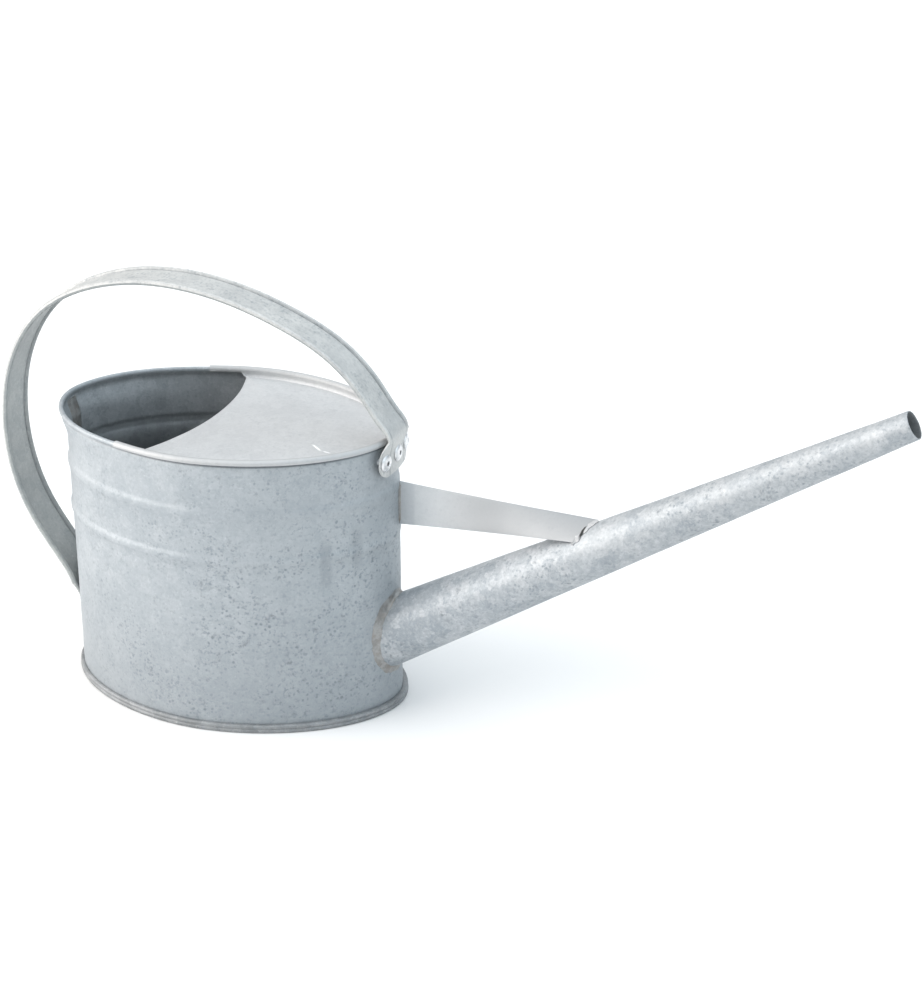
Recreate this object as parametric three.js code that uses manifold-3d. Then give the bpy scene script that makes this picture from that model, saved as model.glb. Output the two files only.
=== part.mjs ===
// A small galvanised watering can: an oval sheet-steel body, a half cover, a riveted
// carrying strap and a long soldered spout with a brace.
// Millimetres. +X points towards the spout, +Z is up. Dimensions are given from the centre
// of the body on the surface the can stands on; the finished can is then moved so that the
// origin is midway along its whole length.

import * as THREE from 'three';
import { mergeVertices } from 'three/addons/utils/BufferGeometryUtils.js';
import Module from 'manifold-3d';

const wasm = await Module();
wasm.setup();

// ---------------------------------------------------------------- driving dimensions

const GAP = 0.3;

// From the body's centre to the middle of the can's whole length.
const BODY_TO_MIDDLE = 111.7;

// The oval in plan is |x / halfLength|^roundness + |y / halfWidth|^roundness = 1: a
// roundness of 2 is an ellipse, and a smaller one is a little narrower between its axes.
const BODY = {
  halfLength: 89.2,
  halfWidth: 61.2,
  roundness: 1.85,
  sheet: 0.7,
  segments: 48,
  wallBottom: 1.2,
  flange: 0.7,
};

const RIBS = [
  { z: 120, height: 8, proud: 0.7 },
  { z: 95, height: 6.4, proud: 0.8 },
];

// The open end of the top is drawn out a little, from a height up to the rim.
const LIP = { reach: 2.8, from: 134, to: 147 };

// The rim roll and everything round it share one centre, given from the wall's outside.
const RIM = { offset: -0.5, z: 148, wire: 0.4, rollOuter: 1.25, hemInner: 1.45, hemOuter: 2.0 };

const SEAM_RING = { top: 4.5, proud: 1.9, sheet: 0.7, panZ: 5.4 };

// The plate's free edge is an arc whose middle is a little to one side of the can's.
const COVER = {
  top: 145,
  sheet: 0.7,
  arcApexX: -9.6,
  arcApexY: 12.8,
  arcRadius: 133,
  hemEndX: -36,
  hemBottom: 147.5,
};

const LAP_SEAM = { width: 8, thickness: 0.6, bottom: 7, top: 143.5 };

const STRAP = { width: 24.4, sheet: 1.0, edgeRadius: 1.6 };

// Middle of the strap's thickness in the y = 0 plane, from the rear foot to the front.
const STRAP_PATH = [
  [-90.6, 34],
  [-91.6, 44],
  [-97.5, 56],
  [-112.5, 79],
  [-122.6, 107],
  [-124.4, 138],
  [-116, 171],
  [-98.5, 195.5],
  [-72, 211],
  [-37, 218],
  [0, 214.6],
  [34, 203.6],
  [60, 189.4],
  [79, 169.3],
  [87.3, 157.6],
  [91.3, 152.8],
  [92.4, 150.2],
];

const FRONT_FOOT = { width: 38, sheet: 1.0, standOff: 1.3, planRadius: 70, bottom: 131, corner: 5 };
const REAR_FOOT = { width: 20, sheet: 1.0, standOff: 0.3, planRadius: 30, top: 47, bottom: 12, corner: 6 };

const RIVET = {
  shank: 2.0,
  hole: 2.3,
  bore: 1.15,
  head: 4.4,
  headHeight: 1.5,
  bulb: 2.8,
  bulbLength: 3.2,
  mandrel: 0.85,
  mandrelBall: 1.6,
  sides: 10,
};
// The front foot has a row of three rivets, and the rear foot has two, one over the other.
const FRONT_RIVETS = [
  { y: -12.9, z: 139.3 },
  { y: 0, z: 140.2 },
  { y: 13.5, z: 141.2 },
];
const REAR_RIVETS = [
  { y: 0, z: 19.5 },
  { y: 0, z: 29.2 },
];

const SPOUT = {
  rootZ: 41.5,
  angle: 30,
  length: 297,
  rootRadius: 17.2,
  tipRadius: 7.1,
  sheet: 0.7,
  buried: 26,
  sides: 32,
};
const SOLDER = { reach: 2.4, height: 2.2, bead: 1.0, sides: 6 };

const BRACE = {
  sheet: 0.9,
  rootY: 8,
  rootTop: 121,
  rootBottom: 97.2,
  tipFar: { x: 194.5, y: 3 },
  tipNear: { x: 186, y: -9.2 },
  steps: 8,
};

// ---------------------------------------------------------------- solids and meshes

// Points of a geometry, without the triangles that collapse to a line.
function indexedMesh(geometry) {
  const bare = geometry.clone();
  bare.deleteAttribute('normal');
  bare.deleteAttribute('uv');
  const merged = mergeVertices(bare, 1e-4);
  const index = merged.index.array;
  const kept = [];
  for (let i = 0; i < index.length; i += 3) {
    const [a, b, c] = [index[i], index[i + 1], index[i + 2]];
    if (a !== b && b !== c && c !== a) kept.push(a, b, c);
  }
  return { vertProperties: merged.attributes.position.array, triVerts: new Uint32Array(kept) };
}

function solid(geometry, matrix) {
  const placed = matrix ? geometry.clone().applyMatrix4(matrix) : geometry;
  const { vertProperties, triVerts } = indexedMesh(placed);
  const turned = new wasm.Manifold(new wasm.Mesh({ numProp: 3, vertProperties, triVerts }));
  if (turned.volume() > 0) return turned;
  for (let i = 0; i < triVerts.length; i += 3) triVerts.subarray(i, i + 2).reverse();
  return new wasm.Manifold(new wasm.Mesh({ numProp: 3, vertProperties, triVerts }));
}

function geometryOf(manifold) {
  const mesh = manifold.getMesh();
  const geometry = new THREE.BufferGeometry();
  geometry.setAttribute('position', new THREE.BufferAttribute(new Float32Array(mesh.vertProperties), 3));
  geometry.setIndex(new THREE.BufferAttribute(new Uint32Array(mesh.triVerts), 1));
  geometry.computeVertexNormals();
  return geometry;
}

function namedMesh(name, manifold, material) {
  const mesh = new THREE.Mesh(geometryOf(manifold), material);
  mesh.name = name;
  return mesh;
}

function finish(color, roughness, metalness) {
  return new THREE.MeshStandardMaterial({ color, roughness, metalness });
}

// ---------------------------------------------------------------- the body's oval

function signedPower(value, power) {
  return Math.sign(value) * Math.abs(value) ** power;
}

// How far the lip is drawn out at an angle from the spout, at a height.
function lipReach(angle, z) {
  const rear = THREE.MathUtils.smoothstep(-Math.cos(angle), 0.35, 0.95);
  return LIP.reach * rear * THREE.MathUtils.smoothstep(z, LIP.from, LIP.to);
}

// A point on the body's oval in plan, moved out along its normal.
function ovalPoint(angle, offset) {
  const x = signedPower(Math.cos(angle), 2 / BODY.roundness);
  const y = signedPower(Math.sin(angle), 2 / BODY.roundness);
  const normal = new THREE.Vector2(
    signedPower(x, BODY.roundness - 1) / BODY.halfLength,
    signedPower(y, BODY.roundness - 1) / BODY.halfWidth,
  ).normalize();
  return new THREE.Vector2(BODY.halfLength * x, BODY.halfWidth * y).addScaledVector(normal, offset);
}

// x of the wall's outside at a given y, on the +X half; a negative offset is inside it.
function ovalX(y, offset) {
  const across = Math.abs(y) / (BODY.halfWidth + offset);
  return (BODY.halfLength + offset) * (1 - across ** BODY.roundness) ** (1 / BODY.roundness);
}

// A ring round the oval. Each point of the section is [offset from the wall's outside, z],
// and a point with offset null lies on the body's axis.
function ovalRing(section) {
  const points = section.map(([offset, z]) => {
    return new THREE.Vector2(offset === null ? 0 : BODY.halfLength + offset, z);
  });
  const geometry = new THREE.LatheGeometry(points, BODY.segments);
  const position = geometry.attributes.position;
  const rows = points.length;
  for (let i = 0; i < position.count; i += 1) {
    const radius = points[i % rows].x;
    const step = Math.floor(i / rows) % BODY.segments;
    const z = points[i % rows].y;
    const angle = (step / BODY.segments) * 2 * Math.PI;
    const offset = radius - BODY.halfLength + lipReach(angle, z);
    const spot = radius === 0 ? new THREE.Vector2(0, 0) : ovalPoint(angle, offset);
    position.setXYZ(i, spot.x, spot.y, z);
  }
  return geometry;
}

// Section points of an arc about (offset, z), angles in degrees from outward, turning up.
function arc(offset, z, radius, from, to, steps) {
  const points = [];
  for (let i = 0; i <= steps; i += 1) {
    const angle = THREE.MathUtils.degToRad(from + ((to - from) * i) / steps);
    points.push([offset + radius * Math.cos(angle), z + radius * Math.sin(angle)]);
  }
  return points;
}

function closed(points) {
  return [...points, points[0]];
}

// A flat outline, extruded up +Z from bottom to top.
function slab(shape, bottom, top) {
  const geometry = new THREE.ExtrudeGeometry(shape, {
    depth: top - bottom,
    bevelEnabled: false,
    curveSegments: 24,
  });
  return geometry.translate(0, 0, bottom);
}

function roundedRectangle(width, bottom, top, corner) {
  const half = width / 2;
  const shape = new THREE.Shape();
  shape.moveTo(-half + corner, bottom);
  shape.lineTo(half - corner, bottom);
  shape.absarc(half - corner, bottom + corner, corner, -Math.PI / 2, 0, false);
  shape.lineTo(half, top);
  shape.lineTo(-half, top);
  shape.absarc(-half + corner, bottom + corner, corner, Math.PI, 1.5 * Math.PI, false);
  return shape;
}

// ---------------------------------------------------------------- rivets

// Where a foot's rivets go: spots on its plate, with the axis square to the plate.
function rivetPlaces(foot, rivets, side) {
  const places = [];
  for (const { y, z } of rivets) {
    const lean = Math.asin(y / foot.planRadius);
    const sag = foot.planRadius * (1 - Math.cos(lean));
    const face = BODY.halfLength + foot.standOff + foot.sheet - sag;
    const wallInside = ovalX(y, -BODY.sheet);
    places.push({
      position: new THREE.Vector3(side * face, y, z),
      turn: side > 0 ? lean : Math.PI - lean,
      grip: (face - wallInside) / Math.cos(lean),
    });
  }
  return places;
}

// A set rivet along +Z: z = 0 is the face that its head sits on.
function rivetSolid(grip) {
  const start = -(grip + GAP + 0.5);
  const head = arc(0, GAP, RIVET.head, 0, 90, 4).map(([r, z]) => {
    return [r, GAP + 0.35 + ((z - GAP) * (RIVET.headHeight - 0.35)) / RIVET.head];
  });
  const section = [
    [RIVET.bore, start - RIVET.bulbLength],
    [RIVET.bulb - 0.7, start - RIVET.bulbLength],
    [RIVET.bulb, start - RIVET.bulbLength + 0.8],
    [RIVET.bulb, start - 0.6],
    [RIVET.shank, start],
    [RIVET.shank, GAP],
    [RIVET.head, GAP],
    ...head.filter(([r]) => r > RIVET.bore + 0.2),
    [RIVET.bore, GAP + RIVET.headHeight],
  ];
  const points = closed(section).map(([r, z]) => new THREE.Vector2(r, z));
  const lathe = new THREE.LatheGeometry(points, RIVET.sides);
  return solid(lathe.rotateX(Math.PI / 2));
}

// The snapped mandrel inside a rivet, with its ball at the blind end.
function mandrelSolid(grip) {
  const blindEnd = -(grip + GAP + 0.5) - RIVET.bulbLength;
  const ball = RIVET.mandrelBall;
  const section = [
    [0, blindEnd - GAP - 1.5 * ball],
    [0.7 * ball, blindEnd - GAP - 1.4 * ball],
    [ball, blindEnd - GAP - 0.8 * ball],
    [ball, blindEnd - GAP],
    [RIVET.mandrel, blindEnd - GAP],
    [RIVET.mandrel, 0.5],
    [0, 0.9],
  ];
  const points = section.map(([r, z]) => new THREE.Vector2(r, z));
  return solid(new THREE.LatheGeometry(points, 6).rotateX(Math.PI / 2));
}

// The matrix that takes a rivet along +Z to its place on a foot.
function rivetMatrix(place) {
  const outward = new THREE.Vector3(Math.cos(place.turn), Math.sin(place.turn), 0);
  const turn = new THREE.Quaternion().setFromUnitVectors(new THREE.Vector3(0, 0, 1), outward);
  return new THREE.Matrix4().compose(place.position, turn, new THREE.Vector3(1, 1, 1));
}

function drill(target, places) {
  const bit = new THREE.CylinderGeometry(RIVET.hole, RIVET.hole, 16, RIVET.sides).rotateX(Math.PI / 2);
  let drilled = target;
  for (const place of places) drilled = drilled.subtract(solid(bit, rivetMatrix(place)));
  return drilled;
}

const frontPlaces = rivetPlaces(FRONT_FOOT, FRONT_RIVETS, 1);
const rearPlaces = rivetPlaces(REAR_FOOT, REAR_RIVETS, -1);

// ---------------------------------------------------------------- spout

const spoutMatrix = new THREE.Matrix4().compose(
  new THREE.Vector3(BODY.halfLength, 0, SPOUT.rootZ),
  new THREE.Quaternion().setFromAxisAngle(
    new THREE.Vector3(0, 1, 0),
    THREE.MathUtils.degToRad(90 - SPOUT.angle),
  ),
  new THREE.Vector3(1, 1, 1),
);
const spoutInverse = spoutMatrix.clone().invert();

function spoutRadius(along) {
  return THREE.MathUtils.lerp(SPOUT.rootRadius, SPOUT.tipRadius, along / SPOUT.length);
}

// A cone round the spout's axis, grown by a margin; its ends are along the axis.
function spoutCone(margin, from, to) {
  const points = [
    new THREE.Vector2(0, from),
    new THREE.Vector2(spoutRadius(from) + margin, from),
    new THREE.Vector2(spoutRadius(to) + margin, to),
    new THREE.Vector2(0, to),
  ];
  return solid(new THREE.LatheGeometry(points, SPOUT.sides).rotateX(Math.PI / 2));
}

// The body's outside, ribs and all, as a block grown by a margin.
function bodyBlock(margin, matrix) {
  const section = [[null, -20], [margin, -20], ...ribPoints(margin, margin), [margin, 200], [null, 200]];
  return solid(ovalRing(section), matrix);
}

function spoutTube() {
  const outside = spoutCone(0, -SPOUT.buried, SPOUT.length);
  const inside = spoutCone(-SPOUT.sheet, -SPOUT.buried - 1, SPOUT.length + 1);
  return outside.subtract(inside).subtract(bodyBlock(GAP, spoutInverse));
}

function spoutRootSolder() {
  const collar = spoutCone(SOLDER.reach, -SPOUT.buried, 40).subtract(spoutCone(GAP, -SPOUT.buried - 1, 41));
  return collar.intersect(bodyBlock(SOLDER.height, spoutInverse)).subtract(bodyBlock(GAP, spoutInverse));
}

// ---------------------------------------------------------------- body wall

// Section points of the ribs from the bottom up, each rib widened by a margin.
function ribPoints(offset, margin = 0) {
  const points = [];
  for (const rib of [...RIBS].reverse()) {
    const foot = rib.height / 2 + margin;
    const crest = rib.height / 4 + margin;
    points.push([offset, rib.z - foot]);
    points.push([offset + rib.proud, rib.z - crest]);
    points.push([offset + rib.proud, rib.z + crest]);
    points.push([offset, rib.z + foot]);
  }
  return points;
}

// The second thickness of sheet where the wall overlaps itself, at the rear.
function lapSeam() {
  const outer = -0.2;
  const inner = -BODY.sheet - LAP_SEAM.thickness;
  const ring = solid(ovalRing(closed([
    [inner, LAP_SEAM.bottom],
    [outer, LAP_SEAM.bottom],
    ...ribPoints(outer),
    [outer, LIP.from],
    [outer, RIM.z - 8],
    [outer, LAP_SEAM.top],
    [inner, LAP_SEAM.top],
    [inner, RIM.z - 8],
    [inner, LIP.from],
    ...ribPoints(inner).reverse(),
  ])));
  const width = new THREE.BoxGeometry(BODY.halfLength, LAP_SEAM.width, 400);
  return ring.intersect(solid(width.translate(-BODY.halfLength, 0, 0)));
}

function bodyWall() {
  const { sheet, wallBottom, flange } = BODY;
  const rollInner = RIM.wire + GAP;
  const section = [
    [-sheet, wallBottom],
    [flange, wallBottom],
    [flange, wallBottom + sheet],
    [0, wallBottom + sheet],
    ...ribPoints(0),
    [0, LIP.from],
    [0, RIM.z - 8],
    [0, RIM.z - 4.5],
    [RIM.offset - RIM.rollOuter + sheet - 0.1, RIM.z - 1.6],
    ...arc(RIM.offset, RIM.z, rollInner, 180, -60, 5),
    ...arc(RIM.offset, RIM.z, RIM.rollOuter, -60, 180, 7),
    [RIM.offset - RIM.rollOuter, RIM.z - 1.8],
    [-sheet, RIM.z - 5],
    [-sheet, RIM.z - 8],
    [-sheet, LIP.from],
    ...ribPoints(-sheet).reverse(),
  ];
  const bore = spoutCone(-SPOUT.sheet, -SPOUT.buried - 6, 30);
  const hole = solid(geometryOf(bore), spoutMatrix);
  const sheetSolid = solid(ovalRing(closed(section))).add(lapSeam()).subtract(hole);
  return drill(drill(sheetSolid, frontPlaces), rearPlaces);
}

function rimWire() {
  const section = arc(RIM.offset, RIM.z, RIM.wire, 30, 390, 6);
  section[section.length - 1] = section[0];
  return solid(ovalRing(section));
}

// ---------------------------------------------------------------- bottom

function basePlate() {
  const { top, proud, sheet, panZ } = SEAM_RING;
  const legInside = -BODY.sheet - GAP;
  const section = [
    [null, panZ - sheet],
    [legInside - sheet, panZ - sheet],
    [legInside - sheet, 0],
    [proud, 0],
    [proud, top - 0.4],
    [proud - 0.4, top],
    [GAP, top],
    [GAP, top - sheet],
    [proud - sheet, top - sheet],
    [proud - sheet, sheet],
    [legInside, sheet],
    [legInside, panZ],
    [null, panZ],
  ];
  return solid(ovalRing(section));
}

// ---------------------------------------------------------------- top cover

// The area of the can's top that lies in front of an edge, as a tall block.
function inFront(edge) {
  const reach = 120;
  const shape = new THREE.Shape();
  shape.moveTo(reach, -reach);
  shape.lineTo(reach, reach);
  for (const [x, y] of edge) shape.lineTo(x, y);
  return solid(slab(shape, 100, 200));
}

// The plate's free edge: a shallow arc that bows towards the spout.
function coverEdge() {
  const half = BODY.halfWidth + 20;
  const steps = 16;
  const edge = [];
  for (let i = 0; i <= steps; i += 1) {
    const y = half - (2 * half * i) / steps;
    const bow = COVER.arcRadius - Math.sqrt(COVER.arcRadius ** 2 - (y - COVER.arcApexY) ** 2);
    edge.push([COVER.arcApexX - bow, y]);
  }
  return edge;
}

function topCover() {
  const plateBottom = COVER.top - COVER.sheet;
  const flangeOut = RIM.offset - RIM.hemInner;
  const flangeIn = RIM.offset - RIM.hemOuter;
  const plate = solid(ovalRing([
    [null, plateBottom],
    [flangeOut, plateBottom],
    [flangeOut, RIM.z],
    [flangeIn, RIM.z],
    [flangeIn, COVER.top],
    [null, COVER.top],
  ]));
  const hem = solid(ovalRing(closed([
    [flangeIn, RIM.z - 0.2],
    [flangeOut, RIM.z - 0.2],
    ...arc(RIM.offset, RIM.z, RIM.hemInner, 180, 0, 6).slice(1),
    [RIM.offset + RIM.hemInner, COVER.hemBottom],
    [RIM.offset + RIM.hemOuter, COVER.hemBottom],
    ...arc(RIM.offset, RIM.z, RIM.hemOuter, 0, 180, 7),
  ])));
  const reach = 120;
  const hemBlock = inFront([[COVER.hemEndX, reach], [COVER.hemEndX, -reach]]);
  return plate.intersect(inFront(coverEdge())).add(hem.intersect(hemBlock));
}

// ---------------------------------------------------------------- carrying strap

// The strap's middle line as a curve in the y = 0 plane.
function strapCurve(y) {
  return new THREE.CatmullRomCurve3(STRAP_PATH.map(([x, z]) => new THREE.Vector3(x, y, z)));
}

function strapWeb() {
  const steps = 40;
  const curve = strapCurve(0);
  const outer = [];
  const inner = [];
  for (let i = 0; i <= steps; i += 1) {
    const point = curve.getPointAt(i / steps);
    const along = curve.getTangentAt(i / steps);
    const half = STRAP.sheet / 2;
    outer.push(new THREE.Vector2(point.x - along.z * half, point.z + along.x * half));
    inner.push(new THREE.Vector2(point.x + along.z * half, point.z - along.x * half));
  }
  const shape = new THREE.Shape([...outer, ...inner.reverse()]);
  const depth = STRAP.width - 2 * STRAP.edgeRadius;
  const geometry = new THREE.ExtrudeGeometry(shape, { depth, bevelEnabled: false });
  return solid(geometry.translate(0, 0, -depth / 2).rotateX(Math.PI / 2));
}

// The rolled edge on one side of the strap; the bead stops short of the feet.
function strapEdge(side) {
  const y = side * (STRAP.width / 2 - STRAP.edgeRadius);
  const whole = strapCurve(y);
  const points = [];
  for (let i = 0; i <= 36; i += 1) points.push(whole.getPointAt(0.045 + (0.945 * i) / 36));
  const section = new THREE.Shape();
  section.absarc(0, 0, STRAP.edgeRadius, 0, 2 * Math.PI, false);
  const geometry = new THREE.ExtrudeGeometry(section, {
    steps: 36,
    curveSegments: 3,
    bevelEnabled: false,
    extrudePath: new THREE.CatmullRomCurve3(points),
  });
  return solid(geometry);
}

// A riveted foot: a plate that follows a side profile of [stand-off, z] points and is
// bent round the body, then trimmed to a rounded outline.
function foot(spec, profile, side) {
  const shape = new THREE.Shape(profile.map(([offset, z]) => {
    return new THREE.Vector2(BODY.halfLength + offset, z);
  }));
  const geometry = new THREE.ExtrudeGeometry(shape, { depth: spec.width, steps: 8, bevelEnabled: false });
  geometry.rotateX(Math.PI / 2).translate(0, spec.width / 2, 0);
  const position = geometry.attributes.position;
  for (let i = 0; i < position.count; i += 1) {
    const sag = spec.planRadius - Math.sqrt(spec.planRadius ** 2 - position.getY(i) ** 2);
    position.setX(i, position.getX(i) - sag);
  }
  const outline = roundedRectangle(spec.width - 0.02, spec.bottom, 200, spec.corner);
  const trim = slab(outline, 0, 120);
  trim.applyMatrix4(new THREE.Matrix4().makeBasis(
    new THREE.Vector3(0, 1, 0),
    new THREE.Vector3(0, 0, 1),
    new THREE.Vector3(1, 0, 0),
  ));
  const plate = solid(geometry).intersect(solid(trim));
  if (side > 0) return plate;
  return solid(geometryOf(plate), new THREE.Matrix4().makeRotationZ(Math.PI));
}

function frontFoot() {
  const { sheet, standOff, bottom } = FRONT_FOOT;
  const hemClear = RIM.offset + RIM.hemOuter + GAP;
  const shoulder = RIM.z + RIM.hemOuter + GAP;
  return foot(FRONT_FOOT, [
    [standOff, bottom - 1],
    [standOff, 144.8],
    [hemClear, 146.8],
    [hemClear, shoulder - 0.6],
    [hemClear - 1.2, shoulder + 0.4],
    [hemClear - 1.2, shoulder + 1.6],
    [hemClear + 0.6, shoulder + 1.4],
    [hemClear + sheet, shoulder],
    [hemClear + sheet, 146.5],
    [standOff + sheet, 144.5],
    [standOff + sheet, bottom - 1],
  ], 1);
}

function rearFoot() {
  const { sheet, standOff, bottom, top } = REAR_FOOT;
  return foot(REAR_FOOT, [
    [standOff, bottom - 1],
    [standOff, top],
    [standOff + sheet, top],
    [standOff + sheet, bottom - 1],
  ], -1);
}

function handleStrap() {
  const strap = strapWeb().add(strapEdge(-1)).add(strapEdge(1)).add(frontFoot()).add(rearFoot());
  return drill(drill(strap, frontPlaces), rearPlaces);
}

// ---------------------------------------------------------------- brace

// A flat strip that stands on edge at the body and turns to lie on the spout.
function braceSolid() {
  const lift = GAP + BRACE.sheet / 2;
  const rootX = BODY.halfLength - 1;
  const lines = [0, 0.5, 1].map((share) => {
    const rootZ = THREE.MathUtils.lerp(BRACE.rootBottom, BRACE.rootTop, share);
    return new THREE.Line3(new THREE.Vector3(rootX, BRACE.rootY, rootZ), braceTip(share, 0, lift));
  });
  const rings = [];
  for (let i = 0; i <= BRACE.steps; i += 1) {
    const row = lines.map((line) => line.at(i / BRACE.steps, new THREE.Vector3()));
    const along = lines[1].delta(new THREE.Vector3());
    const across = row[2].clone().sub(row[0]);
    const half = across.cross(along).normalize().multiplyScalar(BRACE.sheet / 2);
    const near = row.map((point) => point.clone().add(half));
    const far = row.map((point) => point.clone().sub(half));
    rings.push([...near, ...far.reverse()]);
  }
  const clear = solid(geometryOf(spoutCone(GAP, 0, SPOUT.length)), spoutMatrix);
  return stripSolid(rings).subtract(bodyBlock(GAP)).subtract(clear);
}

// A point along the brace's end on the spout, from its near corner (share 0) to the far one.
function braceTip(share, ahead, lift) {
  const x = THREE.MathUtils.lerp(BRACE.tipNear.x, BRACE.tipFar.x, share);
  const y = THREE.MathUtils.lerp(BRACE.tipNear.y, BRACE.tipFar.y, share);
  return spoutTop(x + ahead, y, lift);
}

// A round bead of solder along a line of points.
function solderBead(points, steps) {
  const section = new THREE.Shape();
  section.absarc(0, 0, SOLDER.bead, 0, 2 * Math.PI, false);
  return solid(new THREE.ExtrudeGeometry(section, {
    steps,
    curveSegments: SOLDER.sides / 2,
    bevelEnabled: false,
    extrudePath: new THREE.CatmullRomCurve3(points),
  }));
}

function braceTipSolder() {
  const lift = GAP + SOLDER.bead + 0.1;
  const points = [0.1, 0.37, 0.63, 0.9].map((share) => braceTip(share, SOLDER.bead + GAP + 0.6, lift));
  return solderBead(points, 6);
}

// The bead at the brace's foot runs up its far side, between the body's ribs.
function braceRootSolder() {
  const y = BRACE.rootY + BRACE.sheet / 2 + GAP + SOLDER.bead + 0.2;
  const x = ovalX(y, 0) + SOLDER.bead + 1.5 * GAP;
  return solderBead([new THREE.Vector3(x, y, 101), new THREE.Vector3(x, y, 113)], 1);
}

// A point on or above the spout's surface, straight over a given x and y.
function spoutTop(x, y, lift) {
  const angle = THREE.MathUtils.degToRad(SPOUT.angle);
  const axisZ = SPOUT.rootZ + (x - BODY.halfLength) * Math.tan(angle);
  const along = (x - BODY.halfLength) / Math.cos(angle);
  const radius = spoutRadius(along) + lift;
  const rise = Math.sqrt(radius ** 2 - y ** 2) / Math.cos(angle);
  return new THREE.Vector3(x, y, axisZ + rise);
}

// A closed skin over rings of corners, with both ends capped by a fan.
function stripSolid(rings) {
  const position = rings.flat().flatMap((corner) => corner.toArray());
  const corners = rings[0].length;
  const last = corners * (rings.length - 1);
  const index = [];
  for (let i = 0; i < last; i += corners) {
    for (let side = 0; side < corners; side += 1) {
      const a = i + side;
      const b = i + ((side + 1) % corners);
      index.push(a, b, a + corners, b, b + corners, a + corners);
    }
  }
  for (let side = 1; side + 1 < corners; side += 1) {
    index.push(0, side + 1, side, last, last + side, last + side + 1);
  }
  const geometry = new THREE.BufferGeometry();
  geometry.setAttribute('position', new THREE.BufferAttribute(new Float32Array(position), 3));
  geometry.setIndex(index);
  return solid(geometry);
}

// ---------------------------------------------------------------- the can

const galvanised = () => finish(0xb9c2c6, 0.55, 0.6);
const solderFinish = () => finish(0x9a938a, 0.6, 0.5);
const aluminium = () => finish(0xd2d4d6, 0.35, 0.9);
const steelPin = () => finish(0x5a5c60, 0.5, 0.9);

const can = new THREE.Group();
can.position.x = -BODY_TO_MIDDLE;
can.add(namedMesh('body_wall', bodyWall(), galvanised()));
can.add(namedMesh('rim_wire', rimWire(), galvanised()));
can.add(namedMesh('base_plate', basePlate(), galvanised()));
can.add(namedMesh('top_cover', topCover(), galvanised()));
can.add(namedMesh('handle_strap', handleStrap(), galvanised()));
can.add(namedMesh('spout_brace', braceSolid(), galvanised()));
can.add(namedMesh('brace_tip_solder', braceTipSolder(), solderFinish()));
can.add(namedMesh('brace_root_solder', braceRootSolder(), solderFinish()));

const spout = new THREE.Group();
spout.applyMatrix4(spoutMatrix);
spout.add(namedMesh('spout_tube', spoutTube(), galvanised()));
spout.add(namedMesh('spout_root_solder', spoutRootSolder(), solderFinish()));
can.add(spout);

function addRivets(prefix, places) {
  places.forEach((place, i) => {
    const group = new THREE.Group();
    group.applyMatrix4(rivetMatrix(place));
    group.add(namedMesh(`${prefix}_rivet_${i + 1}`, rivetSolid(place.grip), aluminium()));
    group.add(namedMesh(`${prefix}_mandrel_${i + 1}`, mandrelSolid(place.grip), steelPin()));
    can.add(group);
  });
}

addRivets('front', frontPlaces);
addRivets('rear', rearPlaces);

export default can;
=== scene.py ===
"""Looks of the galvanised watering can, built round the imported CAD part.

Shapes are worked out in millimetres from the centre of the body on the surface the can
stands on, with +X towards the spout and +Z up, and are moved to the row frame in metres
when a mesh is made.
"""

import math

import bmesh
import bpy
import numpy as np
from mathutils import Matrix, Vector, noise


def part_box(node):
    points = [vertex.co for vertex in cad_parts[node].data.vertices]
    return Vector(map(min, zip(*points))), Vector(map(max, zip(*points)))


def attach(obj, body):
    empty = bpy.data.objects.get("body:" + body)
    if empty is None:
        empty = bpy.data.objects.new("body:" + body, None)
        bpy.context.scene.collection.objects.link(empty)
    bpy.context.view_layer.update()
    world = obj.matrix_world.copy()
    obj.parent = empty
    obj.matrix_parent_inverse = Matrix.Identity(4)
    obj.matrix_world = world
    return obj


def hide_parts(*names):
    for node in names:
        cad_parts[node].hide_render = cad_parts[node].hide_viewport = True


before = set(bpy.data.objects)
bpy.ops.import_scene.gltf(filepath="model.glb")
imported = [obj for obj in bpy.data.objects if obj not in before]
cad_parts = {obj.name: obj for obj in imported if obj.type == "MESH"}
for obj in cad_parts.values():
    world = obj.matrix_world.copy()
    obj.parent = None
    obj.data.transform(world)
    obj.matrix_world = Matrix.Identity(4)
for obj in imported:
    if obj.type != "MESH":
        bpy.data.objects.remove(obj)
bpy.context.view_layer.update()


# ---------------------------------------------------------------- dimensions

def span(node, axis):
    """Lowest and highest value of a CAD node along an axis, in millimetres."""
    low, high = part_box(node)
    return 1000 * low[axis], 1000 * high[axis]


SHEET = 0.7
COVER_SHEET = 0.5
SPOUT_SHEET = 0.62

# The body's oval, worked out from the ring of the double seam, which stands out all round it.
SEAM_PROUD = 1.9
BASE_X, BASE_Y = span("base_plate", 0), span("base_plate", 1)
CENTRE_X = (BASE_X[0] + BASE_X[1]) / 2
HALF_LENGTH = (BASE_X[1] - BASE_X[0]) / 2 - SEAM_PROUD
HALF_WIDTH = (BASE_Y[1] - BASE_Y[0]) / 2 - SEAM_PROUD
ROUNDNESS = 1.85

# (height of its middle, height, how far it stands out)
RIBS = ((120.0, 7.6, 0.75), (95.0, 6.4, 0.8))
# How far the open end of the top is drawn out, and the heights between which that grows.
LIP_REACH = 2.8
LIP_FROM, LIP_TO = 134.0, 147.0
RIM_OFFSET = -0.5
RIM_Z = 148.0
ROLL_RADIUS = 1.25
HEM_RADIUS = 1.75
COVER_Z = 144.7
COVER_ARC_APEX = (-9.6, 12.8)
COVER_ARC_RADIUS = 133.0
HEM_END_X = -36.0
# Height of the painted shadow line on the wall under the hem.
HEM_SHADOW_Z = 146.4
# The lap seam's lowest and highest point, and half its width.
LAP_Z = (6.5, 145.0)
LAP_HALF = 4.6

STRAP_WIDTH = 24.4
STRAP_SHEET = 0.8
STRAP_BEAD = 1.5
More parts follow.
